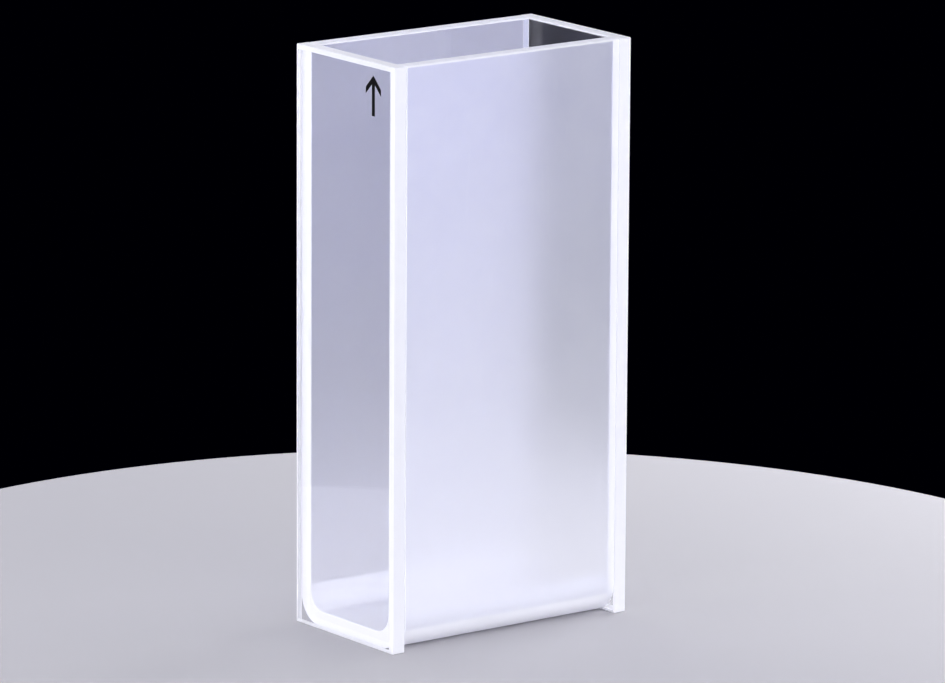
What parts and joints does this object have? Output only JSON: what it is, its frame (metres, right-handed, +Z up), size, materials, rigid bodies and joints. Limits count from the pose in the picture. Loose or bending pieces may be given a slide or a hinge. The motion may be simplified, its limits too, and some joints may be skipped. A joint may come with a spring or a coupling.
{
  "type": "rectangular quartz cuvette",
  "caption": "Open rectangular quartz cell: a matt U-shaped body with a clear polished window fused to each end, for holding a liquid in a light beam.",
  "frame": {"origin": "centre of the base, on the surface that the cell stands on", "axes": "+Z up from the base to the open rim, +X along the light path from the entrance window to the exit window, +Y across the cell from one long wall to the other"},
  "size_m": [0.0226, 0.0126, 0.045],
  "materials": {
    "matt_quartz": "fine ground outside, polished inside, white ground end faces and rim",
    "clear_quartz": "polished clear faces, ground white edges"
  },
  "bodies": {
    "root": {"u_body": "matt_quartz", "entrance_window": "clear_quartz", "exit_window": "clear_quartz"}
  },
  "joints": []
}
